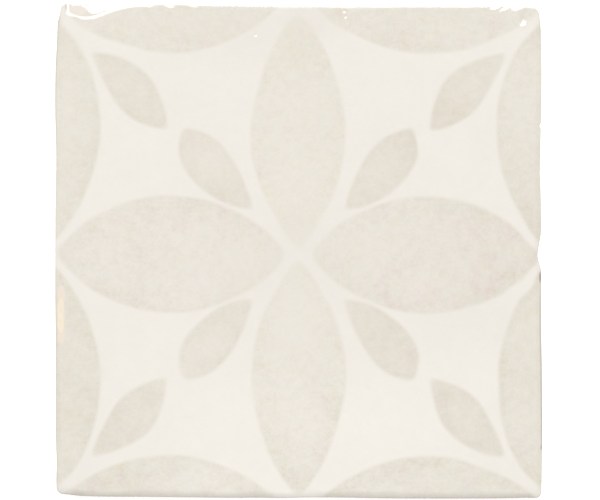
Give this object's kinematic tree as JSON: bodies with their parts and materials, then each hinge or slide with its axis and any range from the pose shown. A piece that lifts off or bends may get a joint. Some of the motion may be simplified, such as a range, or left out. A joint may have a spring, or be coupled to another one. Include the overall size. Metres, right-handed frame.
{
  "type": "wall tile",
  "caption": "Square glazed ceramic wall tile with hand-cut edges, rolled glaze rim, tone-on-tone petal and leaf decoration, and a keyed back for bedding in adhesive.",
  "frame": {"origin": "centre of the tile's outline on the bedding face, the flat lands of its back", "axes": "+Z out of the glazed face, +Y to the top edge of the tile as it is hung, +X to its right edge"},
  "size_m": [0.1296, 0.1317, 0.01],
  "materials": {
    "glazed_earthenware": "glossy off-white glaze with beige petals and leaves on the face, bare buff clay on the lower edges and the back"
  },
  "bodies": {
    "root": {"wall_tile": "glazed_earthenware"}
  },
  "joints": []
}
